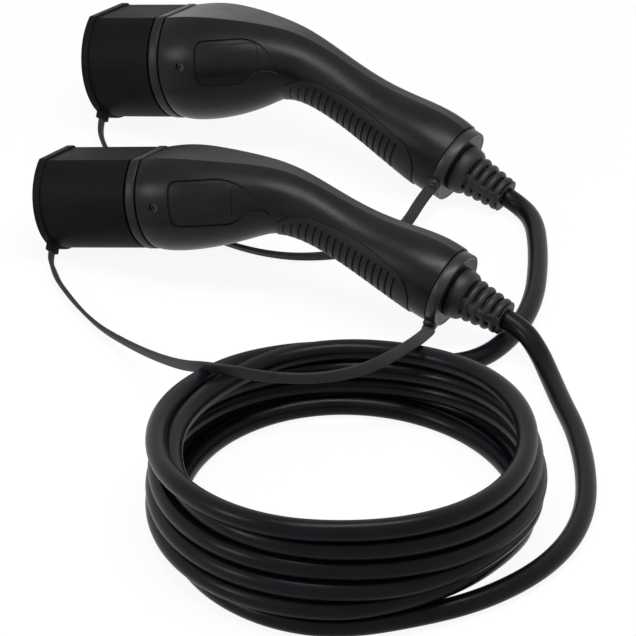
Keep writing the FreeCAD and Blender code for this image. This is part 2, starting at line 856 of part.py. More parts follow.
def make_dust_cap(gun):
    """Rubber cup over the nose with a flange and a lug for the strap."""
    body = new_body(gun.label("dust_cap"))
    length = cap_length(gun)
    cup = sketch_on(body, "YZ_Plane", "cup_outline", -length)
    draw_flat_top(cup, gun.size("barrel_radius"), gun.size("barrel_flat"))
    pad(body, cup, length - size("cap_back_gap"))
    flange = sketch_on(body, "YZ_Plane", "flange_outline", -length)
    proud = size("flange_proud")
    draw_flat_top(flange, gun.size("barrel_radius") + proud, gun.size("barrel_flat") + proud)
    pad(body, flange, size("flange_thickness"))
    inside = sketch_on(body, "YZ_Plane", "cup_inside", -size("cap_back_gap"))
    wall = size("cap_wall")
    draw_flat_top(inside, gun.size("barrel_radius") - wall, gun.size("barrel_flat") - wall)
    pocket(body, inside, length - size("cap_back_gap") - size("cap_floor"))
    lug = body.newObject("PartDesign::AdditiveBox", "cap_lug")
    lug.AttachmentSupport = [(plane_of(body, "YZ_Plane"), "")]
    lug.MapMode = "FlatFace"
    angle = math.radians(float(size("cap_lug_angle")))
    reach = float(gun.size("barrel_radius")) - 1.0
    out = Vector(-math.sin(angle), -math.cos(angle), 0)
    side = Vector(math.cos(angle), -math.sin(angle), 0)
    corner = out * reach - side * float(size("lug_width")) / 2
    turn = Rotation(out, side, Vector(0, 0, 1), "XZY")
    lug.AttachmentOffset = Placement(
        corner + Vector(0, 0, -float(length) + 0.4), turn)
    bind(lug, Length=size("lug_height") + 1.0, Width=size("lug_width"),
         Height=size("lug_thickness"))
    doc.recompute()
    gun.lug = cap_lug_tip(gun, out)
    return gun.keep(body)


def cap_lug_tip(gun, out):
    """Middle of the lug's outer face and the way the strap leaves it."""
    reach = float(gun.size("barrel_radius") + size("lug_height"))
    x = -float(cap_length(gun)) + 0.4 + float(size("lug_thickness")) / 2
    way = Vector(0, out.x, out.y)
    tip = Vector(x, 0, 0) + way * (reach + float(size("strap_gap")))
    return gun.place.multVec(tip), gun.place.Rotation.multVec(way)


# Handle tail: ring, boot, clamp, seal and the cable's end

def make_tail_ring(gun):
    """Band of the cap strap, flush round the end of the handle."""
    length, width = gun.size("handle_length"), size("ring_width")
    tail = gun.size("tail_radius")
    outer = bar(gun.label("ring_outer"), tail, width, length - width)
    inner = bar(gun.label("ring_inner"), tail - size("ring_depth"), width, length - width)
    band = cut(gun.label("ring_band"), outer, inner)
    angle = math.radians(float(gun.size("ring_lug_angle")))
    out = Vector(0, -math.sin(angle), -math.cos(angle))
    side = Vector(0, -math.cos(angle), math.sin(angle))
    lug = doc.addObject("Part::Box", gun.label("ring_lug"))
    bind(lug, Length=width, Width=size("lug_width"), Height=size("lug_height"))
    reach = float(tail) - 1.0
    corner = Vector(float(length - width), 0, 0) + out * reach - side * float(
        size("lug_width")) / 2
    lug.Placement = Placement(corner, Rotation(Vector(1, 0, 0), side, out, "XYZ"))
    lug.setExpression(".Placement.Base.x", (length - width).text)
    whole = fused(gun.label("tail_ring_piece"), [band, lug])
    whole.Label = gun.label("tail_ring")
    frame = gun.place * gun.handle
    tip = Vector(float(length - width / 2), 0, 0) + out * (
        reach + float(size("lug_height") + size("strap_gap")))
    gun.ring_lug = (frame.multVec(tip), frame.Rotation.multVec(out))
    return gun.keep(whole, in_handle=True)


def make_bend_relief(gun):
    """Slotted rubber boot; its sleeve passes through the handle's end wall."""
    body = new_body(gun.label("bend_relief"))
    start = gun.size("handle_length")
    bore = size("cable_diameter") / 2
    wall = size("ring_width") + size("end_wall")
    ribs = start + size("boot_collar_length")
    tip = start + gun.size("boot_length")
    outline = sketch_on(body, "XZ_Plane", "boot_outline")
    sleeve, fat, slim = size("sleeve_radius"), size("boot_front_radius"), size("boot_tip_radius")
    collar = size("boot_collar_radius")
    draw_outline(outline, [
        (start - wall, bore), (tip, bore), (tip, slim - 1.2), (tip - 1.2, slim),
        (ribs + 1.0, fat), (ribs, collar - 2.6), (ribs - 3.0, collar - 0.6),
        (start + 0.2, collar), (start, collar - 0.4), (start, sleeve), (start - wall, sleeve)])
    revolve(body, outline)
    waist = sketch_on(body, "XZ_Plane", "boot_slot")
    pitch, slot = size("boot_rib_pitch"), size("boot_slot")
    draw_outline(waist, [
        (ribs + 2.6, bore + 1.6), (ribs + 2.6 + slot, bore + 1.6),
        (ribs + 2.6 + slot, fat + 2.0), (ribs + 2.6, fat + 2.0)])
    groove = body.newObject("PartDesign::Groove", "boot_slot_cut")
    groove.Profile = waist
    groove.ReferenceAxis = (waist, ["H_Axis"])
    groove.Angle = 136.0
    groove.Midplane = True
    doc.recompute()
    rows = body.newObject("PartDesign::LinearPattern", "boot_slot_rows")
    rows.Originals = [groove]
    rows.Direction = (waist, ["H_Axis"])
    rows.Occurrences = 4
    rows.setExpression("Length", (3.0 * pitch).text)
    body.Tip = rows
    doc.recompute()
    return gun.keep(body, in_handle=True)


def make_cable_end(gun):
    """The sheathed end of the cable, through the boot to behind the clamp."""
    start = gun.size("handle_length") - size("cable_inside")
    end = bar(gun.label("cable_end_piece"), size("cable_diameter") / 2,
              size("cable_inside") + gun.size("boot_length"), start)
    return gun.keep(group(gun.label("cable_end"), [end]), in_handle=True)


def make_gland_seal(gun):
    end = gun.size("handle_length") - size("ring_width") - size("end_wall")
    start = end - size("gland_length")
    outer = bar(gun.label("gland_outer"), size("seal_radius"), size("gland_length"), start)
    inner = bar(gun.label("gland_inner"), size("cable_diameter") / 2,
                size("gland_length"), start)
    ring = cut(gun.label("gland_ring"), outer, inner)
    ring.Label = gun.label("gland_seal")
    return gun.keep(ring, in_handle=True)


def clamp_start(gun):
    return (gun.size("handle_length") - size("ring_width") - size("end_wall")
            - size("gland_length") - 1.0 - size("clamp_length"))


def make_clamp(gun):
    """Two half discs that fill the handle and grip the cable, and their screws."""
    start, thickness = float(clamp_start(gun)), float(size("clamp_length"))
    collar = float(size("collar_width"))
    solid_end = float(size("ring_width") + size("end_wall"))
    inner = shell_solid(gun, float(size("shell_wall") + size("clamp_gap")), collar - 1,
                        float(gun.size("handle_length")) - solid_end)
    disc = handle_bar(gun, 30, start, thickness).common(inner)
    disc = disc.cut(handle_bar(gun, float(size("cable_diameter")) / 2, start - 1, thickness + 2))
    side = float(size("clamp_screw_side"))
    radius = float(size("clamp_screw_radius"))
    middle = start + thickness / 2
    holes = [Part.makeCylinder(radius, 60, Vector(middle, way * side, -30), Vector(0, 0, 1))
             for way in (-1, 1)]
    for hole in holes:
        hole.Placement = gun.handle
        disc = disc.cut(hole)
    for label, low in (("clamp_lower", True), ("clamp_upper", False)):
        half = Part.makeBox(thickness + 2, 80, 40, Vector(start - 1, -40, -40.15 if low else 0.15))
        half.Placement = gun.handle
        gun.keep(shaped(gun.label(label), disc.common(half)))
    pieces = []
    for way in (-1, 1):
        screw = doc.addObject("Part::Cylinder", gun.label("clamp_screw"))
        screw.Placement = Placement(Vector(middle, way * side, -9), Rotation())
        bind(screw, Radius=size("clamp_screw_radius"), Height=18.0)
        screw.setExpression(".Placement.Base.x",
                            (clamp_start(gun) + size("clamp_length") / 2).text)
        screw.setExpression(".Placement.Base.y", (way * size("clamp_screw_side")).text)
        pieces.append(screw)
    gun.keep(group(gun.label("clamp_screws"), pieces), in_handle=True)


def bent_wire(radius, start, corner, end):
    """A core along two straight runs joined by one tangent arc."""
    path, _ = tangent_path([start, corner, end])
    return swept(path, start, corner - start, radius)


def make_cores(gun):
    power, pilot = contact_places()
    rear = float(size("collar_width") + size("spigot_length") + size("retainer_thickness")
                 + size("contact_tail"))
    bend_at = float(gun.size("barrel_length")) - 4
    inside = float(gun.size("handle_length") - size("cable_inside")) - 0.5
    reach = float(size("cable_diameter")) / 2
    cores = []
    for index, (y, z) in enumerate(power + pilot):
        signal = index >= len(power)
        radius = float(size("pilot_core_radius" if signal else "power_core_radius"))
        turn = 2 * math.pi * index / len(power)
        spread = 0.0 if signal else reach - radius - 0.4
        if signal:
            end = Vector(inside, (index - len(power) - 0.5) * 2.4, 0)
        else:
            end = Vector(inside, spread * math.sin(turn), spread * math.cos(turn))
        start = Vector(rear + 0.7, float(y), float(z))
        middle = Vector(bend_at, end.y * 1.7, end.z * 1.7 - 3)
        cores.append(bent_wire(radius, start, middle, gun.handle.multVec(end)))
    gun.keep(shaped(gun.label("wire_cores"), Part.makeCompound(cores)))


def make_resistor(gun):
    """Coding resistor laid across the two signal contacts."""
    x = float(size("collar_width") + size("spigot_length") + size("retainer_thickness")) + 2.5
    piece = doc.addObject("Part::Cylinder", gun.label("resistor"))
    bind(piece, Radius=size("resistor_radius"), Height=size("resistor_length"))
    half = float(size("resistor_length")) / 2
    top = float(size("pilot_rise"))
    piece.Placement = Placement(Vector(x, -half, top), Rotation(Vector(1, 0, 0), -90))
    return gun.keep(group(gun.label("coding_resistor"), [piece]))


# Free cords: tubes of straight runs joined by tangent arcs

def tangent_path(points):
    """The path's edges and the radius of each arc."""
    edges, radii = [], []
    here = points[0]
    for before, corner, after in zip(points, points[1:], points[2:]):
        back, ahead = before - corner, after - corner
        shorter = min(back.Length, ahead.Length)
        back.normalize()
        ahead.normalize()
        turn = math.pi - back.getAngle(ahead)
        trim = 0.45 * shorter
        radii.append(trim / math.tan(turn / 2))
        start, end = corner + back * trim, corner + ahead * trim
        inward = back + ahead
        inward.normalize()
        gap = radii[-1] * (1 / math.cos(turn / 2) - 1)
        edges.append(Part.LineSegment(here, start).toShape())
        edges.append(Part.Arc(start, corner + inward * gap, end).toShape())
        here = end
    edges.append(Part.LineSegment(here, points[-1]).toShape())
    return edges, radii


def swept(edges, start, way, radius):
    profile = Part.Wire(Part.makeCircle(radius, start, way))
    return Part.Wire(edges).makePipeShell([profile], True, False)


def make_cord(name, points, diameter):
    edges, radii = tangent_path(points)
    shape = swept(edges, points[0], points[1] - points[0], diameter / 2)
    length = sum(edge.Length for edge in edges)
    expected = math.pi * diameter ** 2 / 4 * length
    print("%s: length %.1f, volume ratio %.4f, radii %s" % (
        name, length, shape.Volume / expected, [round(radius) for radius in radii]))
    return shaped(name, shape)


# Routes are measured from the coil's centre, which lies on the surface.
VEHICLE_TAIL = [(122, 178, 13), (128, 157, 8), (134, 128, 6.5), (142, 92, 6.5),
                (146, 48, 6.5), (144.5, 4, 6.5), (134, -35, 6.5), (112, -67, 6.5),
                (82, -94, 6.5), (52, -111, 6.5)]
STATION_TAIL = [(124.5, 357, 6.6), (126, 329, 6.5), (125, 295, 6.5), (122, 262, 6.5),
                (115, 232, 6.5), (104, 207, 6.5), (88, 187, 7.5), (66, 169, 13.5),
                (41, 154, 25), (14, 143, 36), (-16, 132, 43.5), (-47, 114.5, 45.5)]
VEHICLE_STRAP = [(-175, 286, 4.1), (-163, 252, 4.1), (-148, 224, 5), (-131, 193, 11),
                 (-116, 159, 23), (-101, 126, 38), (-88, 105, 52), (-74, 93, 61.2),
                 (-60, 92, 54.5), (-45, 102, 43), (-26, 111, 35), (-4, 115, 32),
                 (18, 113.5, 33), (34, 108, 41), (46, 102.5, 56), (53, 113, 61.2),
                 (54, 134, 52), (50, 154, 39), (45, 174, 27)]
STATION_STRAP = [(-154, 468, 4.1), (-144, 432, 4.1), (-128, 397, 4.1), (-104, 362, 4.1),
                 (-73, 333, 4.1), (-42, 317, 4.1), (-12, 315, 4.1), (17, 326, 4.1),
                 (40, 346, 6)]


def placed(route):
    centre = Vector(float(size("coil_x")), float(size("coil_y")), 0)
    return [centre + Vector(*point) for point in route]


def make_tail(gun, route, first_run):
    """The cable from the boot's end to the coil."""
    frame = gun.place * gun.handle
    end = frame.multVec(Vector(float(gun.size("handle_length") + gun.size("boot_length")), 0, 0))
    way = frame.Rotation.multVec(Vector(1, 0, 0))
    points = [end, end + way * first_run] + placed(route)
    print(gun.name, "exit", end, way, "second", points[1])
    return make_cord(gun.label("tail"), points, float(size("cable_diameter")))


def make_strap(gun, route, first_run, last_run):
    """The cap's strap, from the lug on its flange to the lug on the tail ring."""
    start, start_way = gun.lug
    end, end_way = gun.ring_lug
    points = [start, start + start_way * first_run] + placed(route)
    points += [end + end_way * last_run, end]
    print(gun.name, "lugs", start, start_way, end, end_way)
    return make_cord(gun.label("cap_strap"), points, float(size("strap_width")))


def make_coil():
    """Outer form of the coil: an oval ring, low at the back where some turns lie outside."""
    thick = float(size("cable_diameter"))
    across, deep = float(size("coil_half_width")), float(size("coil_half_depth"))
    front, back = float(size("coil_front_height")), float(size("coil_back_height"))
    centre = Vector(float(size("coil_x")), float(size("coil_y")), 0)

    def oval(middle, half_depth, half_width, height):
        ring = Part.Ellipse(middle + Vector(0, half_depth, 0),
                            middle + Vector(half_width, 0, 0), middle)
        return Part.Face(Part.Wire(ring.toShape())).extrude(Vector(0, 0, height))

    tall = oval(centre, deep + thick / 2, across + thick / 2, front)
    near, far = -deep - thick / 2, deep + thick / 2
    slope = [Vector(-300, near, front), Vector(-300, far, back), Vector(-300, far, front + 20),
             Vector(-300, near, front + 20)]
    wedge = Part.Face(Part.makePolygon(slope + slope[:1])).extrude(Vector(600, 0, 0))
    wedge.translate(centre)
    outer = oval(centre + Vector(0, thick * 0.8, 0), deep + thick * 0.7, across + thick * 0.4,
                 float(size("coil_outer_height")))
    inner = oval(centre, deep - thick / 2, across - thick / 2, front)
    return shaped("cable_coil", tall.cut(wedge).fuse(outer).cut(inner))


def make_gun(name):
    gun = Gun(name)
    make_dust_cap(gun)
    make_nose(gun)
    make_contacts(gun)
    make_retainer(gun)
    make_nose_seal(gun)
    make_handle_shell(gun)
    make_grip_pad(gun)
    make_side_screws(gun)
    make_tail_ring(gun)
    make_bend_relief(gun)
    make_cable_end(gun)
    make_gland_seal(gun)
    make_clamp(gun)
    make_cores(gun)
    make_resistor(gun)
    return gun


def check_and_write(nodes):
    doc.recompute()
    for thing in doc.Objects:
        if "Invalid" in thing.State or "Error" in thing.State:
            raise ValueError("failed: " + thing.Label)
    for node in nodes:
        if node.Shape.isNull() or not node.Shape.isValid():
            raise ValueError("bad shape: " + node.Label)
    os.makedirs("parts", exist_ok=True)
    for node in nodes:
        node.Shape.exportStep("parts/%s.step" % node.Label)


vehicle = make_gun("vehicle")
station = make_gun("station")
cords = [
    make_tail(vehicle, VEHICLE_TAIL, 13.0),
    make_tail(station, STATION_TAIL, 13.0),
    make_strap(vehicle, VEHICLE_STRAP, 5.5, 7.0),
    make_strap(station, STATION_STRAP, 7.8, 7.0),
    make_coil(),
]
check_and_write(vehicle.nodes + station.nodes + cords)
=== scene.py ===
import math
import bmesh
import bpy
from mathutils import Matrix, Vector


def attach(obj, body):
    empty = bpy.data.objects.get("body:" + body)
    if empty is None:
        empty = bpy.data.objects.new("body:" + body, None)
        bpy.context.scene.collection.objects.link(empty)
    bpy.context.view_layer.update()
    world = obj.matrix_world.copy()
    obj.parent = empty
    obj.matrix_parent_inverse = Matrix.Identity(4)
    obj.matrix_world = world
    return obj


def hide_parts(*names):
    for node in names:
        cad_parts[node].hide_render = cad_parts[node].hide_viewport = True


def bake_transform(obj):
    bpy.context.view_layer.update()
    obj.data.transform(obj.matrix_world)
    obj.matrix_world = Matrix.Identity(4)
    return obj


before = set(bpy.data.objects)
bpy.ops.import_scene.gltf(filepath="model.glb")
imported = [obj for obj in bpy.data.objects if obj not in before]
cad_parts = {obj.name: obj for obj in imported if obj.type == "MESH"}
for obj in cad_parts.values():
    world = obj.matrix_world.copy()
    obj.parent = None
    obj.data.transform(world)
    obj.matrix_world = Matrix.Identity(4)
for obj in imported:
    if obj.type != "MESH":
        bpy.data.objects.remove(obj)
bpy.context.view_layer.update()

# The charging cable lies on a studio table: a connector at each end, both with
# their rubber dust caps on, and the cable between them coiled in front.
# Everything is in metres, with +Z up and the coil towards the camera.

scene = bpy.context.scene
scene.view_settings.view_transform = "Standard"

# The camera looks down on the coil from the front with a long lens, as the
# photograph does, so that the two connectors are seen almost from the side.

camera = bpy.data.objects.new("camera", bpy.data.cameras.new("camera"))
camera.location = (0.026726, -3.49698, 1.887845)
camera.rotation_euler = (math.radians(60.7), 0, 0)
camera.data.sensor_width = 36
camera.data.lens = 349.8
camera.data.clip_end = 50
scene.collection.objects.link(camera)
scene.camera = camera


# The cable is one length of round cable with a black, satin jacket extruded
# over its cores. It leaves the vehicle connector's boot, lies along the floor,
# winds up into the coil and comes down behind it to the station connector.

class Signal:
    """A node's output that takes part in sums."""

    def __init__(self, tree, socket):
        self.tree = tree
        self.socket = socket

    def maths(self, operation, *others):
        """The result of that operation on this signal and the others."""
        return add_node(self.tree, "ShaderNodeMath", {"operation": operation},
                        dict(enumerate((self,) + others)))

    def __add__(self, other):
        return self.maths("ADD", other)

    def __sub__(self, other):
        return self.maths("SUBTRACT", other)

    def __rsub__(self, other):
        return add_node(self.tree, "ShaderNodeMath", {"operation": "SUBTRACT"},
                        {0: other, 1: self})

    def __mul__(self, other):
        return self.maths("MULTIPLY", other)

    __radd__ = __add__
    __rmul__ = __mul__


def add_node(tree, kind, settings=None, sockets=None, output=0):
    """A node with its settings, then its sockets' values or links."""
    node = tree.nodes.new(kind)
    for name, value in (settings or {}).items():
        setattr(node, name, value)
    for name, value in (sockets or {}).items():
        if isinstance(value, Signal):
            tree.links.new(value.socket, node.inputs[name])
        else:
            node.inputs[name].default_value = value
    return Signal(tree, node.outputs[output])


class Finish:
    """A material and the patterns that it is made of."""

    def __init__(self, name, specular):
        self.material = bpy.data.materials.new(name)
        self.material.use_nodes = True
        self.tree = self.material.node_tree
        self.shader = self.tree.nodes["Principled BSDF"]
        self.shader.inputs["Specular IOR Level"].default_value = specular

    def node(self, kind, settings=None, sockets=None, output=0):
        return add_node(self.tree, kind, settings, sockets, output)

    def place(self):
        """Where a point lies on the object."""
        return self.node("ShaderNodeTexCoord", output="Object")

    def lie(self):
        """Where a point lies across and along its cord."""
        return self.node("ShaderNodeAttribute", {"attribute_name": "lie"}, output="Vector")

    def grain(self, size, place, detail=2.0):
        """A cloudy pattern whose spots are about size metres across."""
        return self.node("ShaderNodeTexNoise", None,
                         {"Vector": place, "Scale": 1 / size, "Detail": detail})

    def spread(self, signal, low, high, start=0.0, end=1.0):
        """The signal carried from one span of values onto another."""
        return self.node("ShaderNodeMapRange", None, {
            "Value": signal, "From Min": low, "From Max": high,
            "To Min": start, "To Max": end})

    def blend(self, share, first, second):
        """Two colours mixed by a signal."""
        node = self.tree.nodes.new("ShaderNodeMix")
        node.data_type = "RGBA"
        ends = [socket for socket in node.inputs if socket.type == "RGBA"]
        for end, colour in zip(ends, (first, second)):
            end.default_value = (*colour, 1)
        self.tree.links.new(share.socket, node.inputs["Factor"])
        mixed = [socket for socket in node.outputs if socket.type == "RGBA"]
        return Signal(self.tree, mixed[0])

    def feed(self, socket, signal):
        """Let the signal set that property of the surface."""
        self.tree.links.new(signal.socket, self.shader.inputs[socket])

    def emboss(self, height, depth, edge=0.0):
        """Raise the surface by depth metres where height is 1, over edges that
        are worn round to a radius of edge metres."""
        sockets = {"Height": height, "Distance": depth}
        if edge:
            sockets["Normal"] = self.node("ShaderNodeBevel", {"samples": 6}, {"Radius": edge})
        self.feed("Normal", self.node("ShaderNodeBump", None, sockets))


def jacket_finish():
    """Satin jacket with drawing marks along it and a little bloom."""
    mark_size, mark_stretch = 0.0009, 0.02
    peel_size, bloom_size, relief = 0.0016, 0.03, 0.00006
    finish = Finish("cable jacket", specular=0.09)
    lie = finish.lie()
    drawn = finish.node("ShaderNodeMapping", None,
                        {"Vector": lie, "Scale": (1, 1, mark_stretch)})
    marks = finish.grain(mark_size, drawn, 3)
    peel = finish.grain(peel_size, lie)
    bloom = finish.grain(bloom_size, lie, 3)
    finish.feed("Base Color", finish.blend(
        finish.spread(bloom, 0.35, 0.7), (0.0022, 0.0022, 0.0034), (0.0042, 0.0042, 0.0064)))
    finish.feed("Roughness", finish.spread(bloom, 0.3, 0.7, 0.25, 0.33) + marks * 0.05)
    finish.emboss(marks * 0.6 + peel * 0.4, relief)
    return finish.material


def begin_tree(name, sizes):
    """Node tree that takes geometry, sizes and a material, and its inputs by name."""
    tree = bpy.data.node_groups.new(name, "GeometryNodeTree")
    asks = {"Geometry": "Geometry", **sizes, "Material": "Material"}
    for title, kind in asks.items():
        tree.interface.new_socket(title, in_out="INPUT", socket_type="NodeSocket" + kind)
    tree.interface.new_socket("Geometry", in_out="OUTPUT", socket_type="NodeSocketGeometry")
    group = tree.nodes.new("NodeGroupInput")
    return tree, {socket.name: Signal(tree, socket) for socket in group.outputs}


def end_tree(tree, geometry, material):
    """Give out the geometry as plain mesh of that material."""
    mesh = add_node(tree, "GeometryNodeRealizeInstances", None, {"Geometry": geometry})
    mesh = add_node(tree, "GeometryNodeSetMaterial", None,
                    {"Geometry": mesh, "Material": material})
    end = tree.nodes.new("NodeGroupOutput")
    tree.links.new(mesh.socket, end.inputs[0])


def extrusion_tree(name, flat):
    """Node tree that draws a profile along a curve and keeps each point's place
    across and along the cord, called lie, for the material."""
    corner_steps, round_steps = 4, 28
    sizes = ("Width", "Thickness", "Corner") if flat else ("Radius",)
    tree, asked = begin_tree(name, {size: "Float" for size in sizes})

    def keep(curve, kind, value):
        """The curve with a value of its points carried on to the mesh."""
        node = tree.nodes.new("GeometryNodeCaptureAttribute")
        node.capture_items.new(kind, "kept")
        tree.links.new(curve.socket, node.inputs[0])
        tree.links.new(value.socket, node.inputs[1])
        return Signal(tree, node.outputs[0]), Signal(tree, node.outputs[1])

    route = add_node(tree, "GeometryNodeResampleCurve", {"mode": "EVALUATED"},
                     {"Curve": asked["Geometry"]})
    along = add_node(tree, "GeometryNodeSplineParameter", output="Length")
    route, length = keep(route, "FLOAT", along)
    if flat:
        corners = add_node(tree, "GeometryNodeCurvePrimitiveQuadrilateral", None,
                           {"Width": asked["Width"], "Height": asked["Thickness"]})
        profile = add_node(tree, "GeometryNodeFilletCurve", {"mode": "POLY"},
                           {"Curve": corners, "Count": corner_steps,
                            "Radius": asked["Corner"]})
    else:
        profile = add_node(tree, "GeometryNodeCurvePrimitiveCircle", None,
                           {"Resolution": round_steps, "Radius": asked["Radius"]})
    profile, across = keep(profile, "VECTOR", add_node(tree, "GeometryNodeInputPosition"))
    mesh = add_node(tree, "GeometryNodeCurveToMesh", None,
                    {"Curve": route, "Profile Curve": profile, "Fill Caps": True})
    beyond = add_node(tree, "ShaderNodeCombineXYZ", None, {"Z": length})
    lie = add_node(tree, "ShaderNodeVectorMath", {"operation": "ADD"}, {0: across, 1: beyond})
    mesh = add_node(tree, "GeometryNodeStoreNamedAttribute",
                    {"data_type": "FLOAT_VECTOR", "domain": "POINT"},
                    {"Geometry": mesh, "Name": "lie", "Value": lie})
    end_tree(tree, mesh, asked["Material"])
    return tree


def nurbs_route(name, points, tilts=None):
    """A smooth open curve with those control points, turned there by those tilts."""
    curve = bpy.data.curves.new(name, "CURVE")
    curve.dimensions = "3D"
    curve.twist_mode = "Z_UP"
    curve.resolution_u = 8
    spline = curve.splines.new("NURBS")
    spline.points.add(len(points) - 1)
    for index, point in enumerate(points):
        spline.points[index].co = (*point, 1)
        spline.points[index].tilt = math.radians(tilts[index]) if tilts else 0
    spline.order_u = 3
    spline.use_endpoint_u = True
    route = bpy.data.objects.new(name, curve)
    scene.collection.objects.link(route)
    return route


def read_line(route):
    """The points that the smooth curve passes through."""
    line = bpy.data.meshes.new_from_object(route)
    return [tuple(vertex.co) for vertex in line.vertices]


def made_by(tree, source, name, values):
    """Plain mesh piece that the node tree makes from the source object and from
    values for its inputs."""
    modifier = source.modifiers.new("making", "NODES")
    modifier.node_group = tree
    for item in tree.interface.items_tree:
        if item.in_out == "INPUT" and item.name in values:
            modifier[item.identifier] = values[item.name]
    shape = source.evaluated_get(bpy.context.evaluated_depsgraph_get())
    mesh = bpy.data.meshes.new_from_object(shape)
    mesh.shade_smooth()
    piece = bpy.data.objects.new(name, mesh)
    scene.collection.objects.link(piece)
    bpy.data.objects.remove(source)
    return piece


def centred(points):
    """Points given from the middle of the coil, in the object's own frame."""
    return [tuple(Vector(point) + coil_centre) for point in points]


# The coil's middle on the floor, and the oval that the middle of the cable follows.
coil_centre = Vector((0.04046, -0.37644, 0))
cable_diameter = 0.0128
coil_half_width, coil_half_depth = 0.1088, 0.127
steps_per_turn = 18

# The cable's points at each boot, in the object's frame, and from there to the
# coil, from the coil's middle.
vehicle_exit = [(0.14229, -0.176043, 0.023794), (0.153127, -0.182293, 0.020258)]
vehicle_tail = [(0.122, 0.178, 0.013), (0.128, 0.157, 0.008), (0.134, 0.128, 0.0065),
                (0.142, 0.092, 0.0065), (0.146, 0.048, 0.0065), (0.1445, 0.004, 0.0065),
                (0.134, -0.035, 0.0065), (0.114, -0.069, 0.0065), (0.084, -0.097, 0.0065),
                (0.052, -0.114, 0.0065)]
station_tail = [(-0.050, 0.1215, 0.0405), (-0.018, 0.1375, 0.0365), (0.014, 0.146, 0.030),
                (0.041, 0.150, 0.022), (0.066, 0.161, 0.013), (0.088, 0.181, 0.0072),
                (0.104, 0.205, 0.0065), (0.115, 0.232, 0.0065), (0.122, 0.262, 0.0065),
                (0.125, 0.295, 0.0065), (0.126, 0.329, 0.0065), (0.1245, 0.357, 0.0066)]
station_exit = [(0.158133, -0.000024, 0.007044), (0.147747, 0.006483, 0.011378)]

# Where each turn lies: turns since the front, height of its middle, and how far
# it stands out from the coil's oval. A quarter turn on from the front is the left.
coil_lie = [(0, 0.0064, 0.0015), (0.25, 0.0064, -0.010), (0.5, 0.0064, -0.002),
            (0.75, 0.0068, 0), (0.86, 0.0165, -0.004), (0.93, 0.0195, -0.002),
            (1, 0.0191, 0.0034), (1.25, 0.0136, 0), (1.5, 0.0064, 0.0115),
            (1.62, 0.0108, 0.0112), (1.75, 0.0194, 0.004), (1.87, 0.028, 0.001),
            (2, 0.0317, 0.0028), (2.25, 0.026, 0), (2.5, 0.019, 0.001),
            (2.75, 0.032, 0.006), (3, 0.0443, 0.0005), (3.25, 0.0386, -0.0015),
            (3.5, 0.0312, -0.0015), (3.75, 0.0448, 0.0035), (4, 0.0571, -0.0005),
            (4.25, 0.0492, -0.0095), (4.37, 0.0455, -0.0115), (4.5, 0.043, 0.0005),
            (4.75, 0.0578, 0), (5, 0.0699, 0), (5.12, 0.0662, 0.0005),
            (5.25, 0.0566, -0.0005), (5.33, 0.0497, 0.0005), (5.42, 0.0425, 0.003)]


def coil_points():
    """The turns of the coil, clockwise from above and from the floor up. Each
    point stands outside the oval by as much as the curve passes inside it."""
    reach = 1 / math.cos(math.pi / steps_per_turn)
    quarter = 0.25
    points = []
    step = 0
    for (begin, low, inner), (end, high, outer) in zip(coil_lie, coil_lie[1:]):
        while step / steps_per_turn < end:
            turn = step / steps_per_turn
            share = (turn - begin) / (end - begin)
            eased = share * share * (3 - 2 * share)
            out = inner + (outer - inner) * eased
            angle = -math.tau * (turn + quarter)
            points.append(((coil_half_width + out) * reach * math.cos(angle),
                           (coil_half_depth + out) * reach * math.sin(angle),
                           low + (high - low) * eased))
            step += 1
    return points


cable_route = nurbs_route("cable_route", vehicle_exit + centred(
    vehicle_tail + coil_points() + station_tail) + station_exit)
cable_line = read_line(cable_route)
cable = made_by(extrusion_tree("round cord", flat=False), cable_route, "cable",
                {"Radius": cable_diameter / 2, "Material": jacket_finish()})
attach(cable, "cable")
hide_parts("vehicle_tail", "cable_coil", "station_tail")


# Each dust cap is tied to its connector by a flat strap, moulded in the same
# soft rubber: one end holds the cap's flange, the other a ring at the handle's
# end. The front one hangs over the coil, the rear one lies on the floor.

def strap_finish():
    """Matt grey-black rubber with a fine even grain."""
    grain_size, bloom_size, relief = 0.0007, 0.02, 0.00008
    finish = Finish("strap rubber", specular=0.17)
    lie = finish.lie()
    grain = finish.grain(grain_size, lie, 3)
    bloom = finish.grain(bloom_size, lie, 3)
    finish.feed("Base Color", finish.blend(
        finish.spread(bloom, 0.3, 0.7), (0.014, 0.014, 0.0142), (0.021, 0.021, 0.0208)))
    finish.feed("Roughness", finish.spread(grain, 0.3, 0.7, 0.54, 0.68))
    finish.emboss(grain, relief)
    return finish.material


strap_width, strap_thickness, strap_corner = 0.0075, 0.0025, 0.001
flat_cord = extrusion_tree("flat cord", flat=True)
strap_rubber = strap_finish()


def lay_strap(gun, cap_end, route, ring_end):
    """A strap through points that each give a place and a turn in degrees,
    where 0 lies flat and 90 stands on edge."""
    middle = centred([point[:3] for point in route])
    turns = [point[3] for point in cap_end + route + ring_end]
    ends = [[point[:3] for point in part] for part in (cap_end, ring_end)]
    line = nurbs_route(gun + "_strap_route", ends[0] + middle + ends[1], turns)
    path = read_line(line)
    strap = made_by(flat_cord, line, gun + "_strap", {
        "Width": strap_width, "Thickness": strap_thickness,
        "Corner": strap_corner, "Material": strap_rubber})
    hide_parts(gun + "_cap_strap")
    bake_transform(strap)


